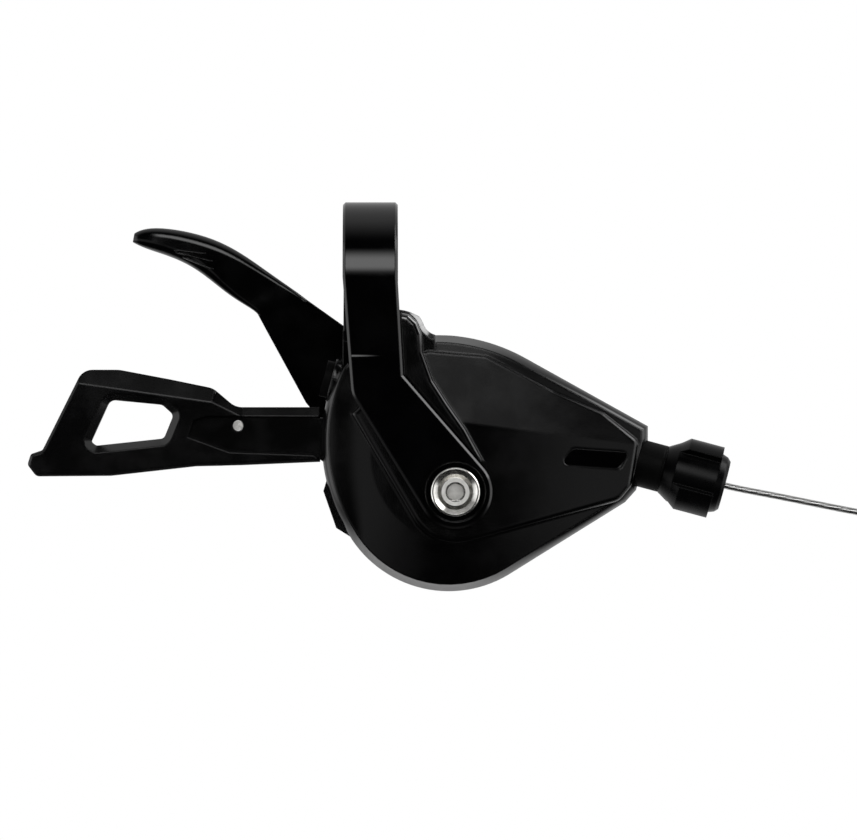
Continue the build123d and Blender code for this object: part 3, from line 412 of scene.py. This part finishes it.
grip = {
    "lines": [
        ((-35.5, 5.18), (-29.8, 4.46)),
        ((-35.2, 4.82), (-28.6, 3.04)),
        ((-33.9, 3.93), (-28.4, 1.60)),
    ],
    "wide": 0.44, "high": 0.24, "sunk": 0.30, "steps": 12, "rows": 2, "start": -30.0, "crest": 0.25,
    "ends": 0.05, "finish": "releaseGloss",
}


def gripRib(name, line, look):  # a low rib laid on the release lever's face, fading out at its ends
    (x0, z0), (x1, z1) = line
    reach, slope = math.hypot(x1 - x0, z1 - z0), math.atan2(z1 - z0, x1 - x0)
    flat = {"x_subdivisions": look["steps"], "y_subdivisions": look["rows"]}
    piece = startPiece(name, bpy.ops.mesh.primitive_grid_add, **flat)
    bpy.ops.transform.resize(value=(reach * mm, 1, look["wide"] * mm))
    bpy.ops.transform.rotate(value=slope, orient_axis="Y", center_override=(0, 0, 0))
    bpy.ops.transform.translate(value=((x0 + x1) / 2 * mm, look["start"] * mm, (z0 + z1) / 2 * mm))
    bpy.ops.object.mode_set(mode="OBJECT")
    wrap = piece.modifiers.new("wrap", "SHRINKWRAP")
    wrap.wrap_method = "PROJECT"
    wrap.use_project_y = True
    wrap.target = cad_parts["release_lever"]
    bpy.ops.object.modifier_apply(modifier="wrap")
    bpy.ops.object.mode_set(mode="EDIT")

    def onCrest(at):
        across, up = at.x / mm - x0, at.z / mm - z0
        along = (across * (x1 - x0) + up * (z1 - z0)) / reach
        aside = (up * (x1 - x0) - across * (z1 - z0)) / reach
        inside = reach * look["ends"] < along < reach * (1 - look["ends"])
        return inside and abs(aside) < look["wide"] * look["crest"]

    pickCorners(piece, onCrest)
    bpy.ops.transform.translate(value=(0, -look["high"] * mm, 0))
    thicken(look["sunk"])
    return closePiece(piece, look["finish"])


for number, line in enumerate(grip["lines"], 1):
    rib = gripRib(f"gripRib{number}", line, grip)
    depths = [corner.co.y / mm for corner in rib.data.vertices]
    print(rib.name, "from", round(min(depths), 2), "to", round(max(depths), 2), "mm deep")
    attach(rib, "release_lever")
print("grip ribs laid on the release lever")

cable = {
    "depth": -4.3, "thick": 1.2, "exit": (63.31, -37.21), "lead": (65.0, -37.664),
    "points": [(72.5, -39.05), (84.0, -41.4), (96.0, -43.6)],
    "coilCentre": (103.5, -58.8), "coilRadius": 10.8, "perTurn": 14, "layers": (3, 4, 5, 6, 5, 4, 3),
    "rise": 1.04, "join": 82.0, "order": 3, "smooth": 3, "sides": 3,
}


def cableRoute(look):
    places = [(x, look["depth"], z) for x, z in [look["exit"], look["lead"]] + look["points"]]
    rows = []  # radius and depth of each turn, outermost row first
    for number, count in enumerate(look["layers"]):
        radius = look["coilRadius"] + ((len(look["layers"]) - 1) / 2 - number) * look["rise"]
        depths = [(n - (count - 1) / 2) * look["thick"] for n in range(count)]
        rows += [(radius, depth) for depth in (depths if number % 2 else depths[::-1])]
    step = 2 * math.pi / look["perTurn"]
    for number in range(len(rows) * look["perTurn"]):
        turn, part = divmod(number, look["perTurn"])
        nextRow = rows[min(turn + 1, len(rows) - 1)]
        cross = max(0, part / look["perTurn"] - 0.5) * 2  # a turn's second half moves over to the next
        radius, depth = [a + (b - a) * cross for a, b in zip(rows[turn], nextRow)]
        angle = math.radians(look["join"]) - number * step
        reach = radius / math.cos(step / 2)  # control points stand outside the turn
        places.append((
            look["coilCentre"][0] + reach * math.cos(angle), look["depth"] + depth,
            look["coilCentre"][1] + reach * math.sin(angle),
        ))
    return [(x * mm, y * mm, z * mm) for x, y, z in places]


def cableCurve(name, places, look):
    data = bpy.data.curves.new(name, "CURVE")
    data.dimensions = "3D"
    spline = data.splines.new("NURBS")
    spline.points.add(len(places) - 1)
    for point, place in zip(spline.points, places):
        point.co = (*place, 1.0)
    spline.order_u = look["order"]
    spline.use_endpoint_u = True
    spline.resolution_u = look["smooth"]
    data.bevel_depth = look["thick"] / 2 * mm
    data.bevel_resolution = look["sides"]
    data.use_fill_caps = True
    made = bpy.data.objects.new(name, data)
    bpy.context.scene.collection.objects.link(made)
    return made


def splineLength(curve):  # along the spline itself, with no thickness
    bare = curve.copy()
    bare.data = curve.data.copy()
    bare.data.bevel_depth = 0
    line = bpy.data.meshes.new_from_object(bare)
    ends = [[line.vertices[end].co for end in edge.vertices] for edge in line.edges]
    total = sum((first - second).length for first, second in ends)
    bpy.data.meshes.remove(line)
    bpy.data.objects.remove(bare)
    return total


route = cableRoute(cable)
shiftCable = cableCurve("shiftCable", route, cable)
cableLength = splineLength(shiftCable)
shiftCable.data.materials.append(strandedSteel("strandedSteel", cableFinish, cableLength))
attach(shiftCable, "housing")
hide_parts("cable_run", "cable_coil")
print("cable", round(cableLength, 4), "m long")

view = {
    "across": 0.15304, "middle": (0.0104, -0.0255), "distance": 2.0, "plane": -0.006, "sensor": 36.0,
    "near": 0.01,
}
cameraData = bpy.data.cameras.new("camera")
cameraData.sensor_width = view["sensor"]
cameraData.lens = view["sensor"] * view["distance"] / view["across"]
cameraData.clip_start = view["near"]
cameraSeat = bpy.data.objects.new("camera", cameraData)
cameraSeat.location = (view["middle"][0], view["plane"] - view["distance"], view["middle"][1])
cameraSeat.rotation_euler = (math.radians(90), 0, 0)
bpy.context.scene.collection.objects.link(cameraSeat)
bpy.context.scene.camera = cameraSeat

lampAim = (0.01, 0.0, -0.03)
lamps = {
    "lampOver": {"place": (0.03, 0.15, 0.80), "size": 0.7, "power": 3.0},
    "lampLeft": {"place": (-0.85, 0.05, 0.12), "size": 0.6, "power": 1.5},
    "lampRight": {"place": (0.85, 0.05, 0.12), "size": 0.6, "power": 1.5},
}


def addLamp(name, look):
    data = bpy.data.lights.new(name, "AREA")
    data.energy = look["power"]
    data.size = look["size"]
    lamp = bpy.data.objects.new(name, data)
    lamp.location = look["place"]
    lamp.visible_glossy = False  # reflections come from the room
    aim = [a - b for a, b in zip(lampAim, look["place"])]
    across = math.hypot(aim[0], aim[1])
    lamp.rotation_euler = (math.atan2(across, -aim[2]), 0, math.atan2(aim[1], aim[0]) - math.pi / 2)
    bpy.context.scene.collection.objects.link(lamp)


for lampName, lampLook in lamps.items():
    addLamp(lampName, lampLook)

floorLook = {
    "middle": (0.02, 0.55, -0.35), "reach": 0.62, "sides": 96, "fade": (0.55, 0.98),
    "dark": (0.86, 0.86, 0.86), "light": (0.90, 0.90, 0.90), "rough": 0.7, "cloud": (0.05, 3.0),
}


def paleFloor(look):  # a disc that fades out towards its edge
    bpy.ops.object.select_all(action="DESELECT")
    bpy.ops.mesh.primitive_circle_add(
        vertices=look["sides"], radius=look["reach"], fill_type="NGON", location=look["middle"],
    )
    disc = bpy.context.object
    disc.name = "floor"
    material, pen = startMaterial("paleFloor")
    place = objectPlace(pen)
    cloud = grain(pen, place, *look["cloud"])
    out = spread(*axes(pen, place)[:2])
    start, end = [look["reach"] * share for share in look["fade"]]
    disc.data.materials.append(closeMaterial(material, pen, {
        "Base Color": shadeMix(pen, cloud, look["dark"], look["light"]), "Roughness": look["rough"],
        "Alpha": 1 - out.clip(start, end),
    }))
    return disc


floor = paleFloor(floorLook)

roomLook = {  # ranges of a direction's three numbers, and each part's brightness in reflections
    "below": {"up": (-0.90, -0.20), "drop": 0.6},
    "behind": {"back": (-0.58, 0.20), "bright": 0.55},
    "softbox": {"low": (0.09, 0.30), "top": (0.44, 0.72), "side": (0.12, 0.30), "bright": 3.3},
    "sidebox": {"low": (-0.45, -0.20), "top": (0.04, 0.16), "side": (0.10, 0.28), "bright": 0.28},
    "keybox": {"aim": (0.78, 0.62), "edge": (0.930, 0.975), "bright": 4.0},  # high on the right
    "flanks": {"side": (0.86, 0.97), "bright": 1.0},
    "dark": 0.002, "plain": 0.70,
}


def heightBand(up, look):
    return up.clip(*look["low"]) * (1 - up.clip(*look["top"]))


def roomGlow(pen, look):  # white to the camera, a plain light on the object, and a studio in reflections
    side, back, up = axes(pen, pen.node("ShaderNodeTexCoord", {}, {}, "Generated"))
    sideways = pen.maths("ABSOLUTE", side)
    below = 1 - up.clip(*look["below"]["up"])
    behind = (back - below * look["below"]["drop"]).clip(*look["behind"]["back"])
    ahead = 1 - behind  # where the camera stands
    softbox, sidebox, keybox = look["softbox"], look["sidebox"], look["keybox"]
    parts = {
        "behind": behind,
        "softbox": heightBand(up, softbox) * (1 - sideways.clip(*softbox["side"])) * ahead,
        "sidebox": heightBand(up, sidebox) * sideways.clip(*sidebox["side"]) * ahead,
        "keybox": (side * keybox["aim"][0] + up * keybox["aim"][1]).clip(*keybox["edge"]),
        "flanks": sideways.clip(*look["flanks"]["side"]),
    }
    mirrored = sum((part * look[name]["bright"] for name, part in parts.items()), look["dark"])
    lightPath = pen.node("ShaderNodeLightPath").socket.node
    cameraRay, clearRay, glossyRay = [
        Wire(pen.tree, lightPath.outputs[f"Is {kind} Ray"]) for kind in ("Camera", "Transmission", "Glossy")
    ]
    otherRay = 1 - cameraRay - clearRay - glossyRay
    return cameraRay + clearRay + glossyRay * mirrored + otherRay * look["plain"]


room = bpy.data.worlds.new("room")
bpy.context.scene.world = room
room.use_nodes = True
room.node_tree.nodes.clear()
roomPen = Wire(room.node_tree)
roomStrength = roomGlow(roomPen, roomLook)
roomShade = roomPen.node("ShaderNodeBackground", {}, {"Color": (1, 1, 1, 1), "Strength": roomStrength})
roomPen.node("ShaderNodeOutputWorld", {}, {"Surface": roomShade})
bpy.context.scene.view_settings.view_transform = "Standard"
print("studio ready")
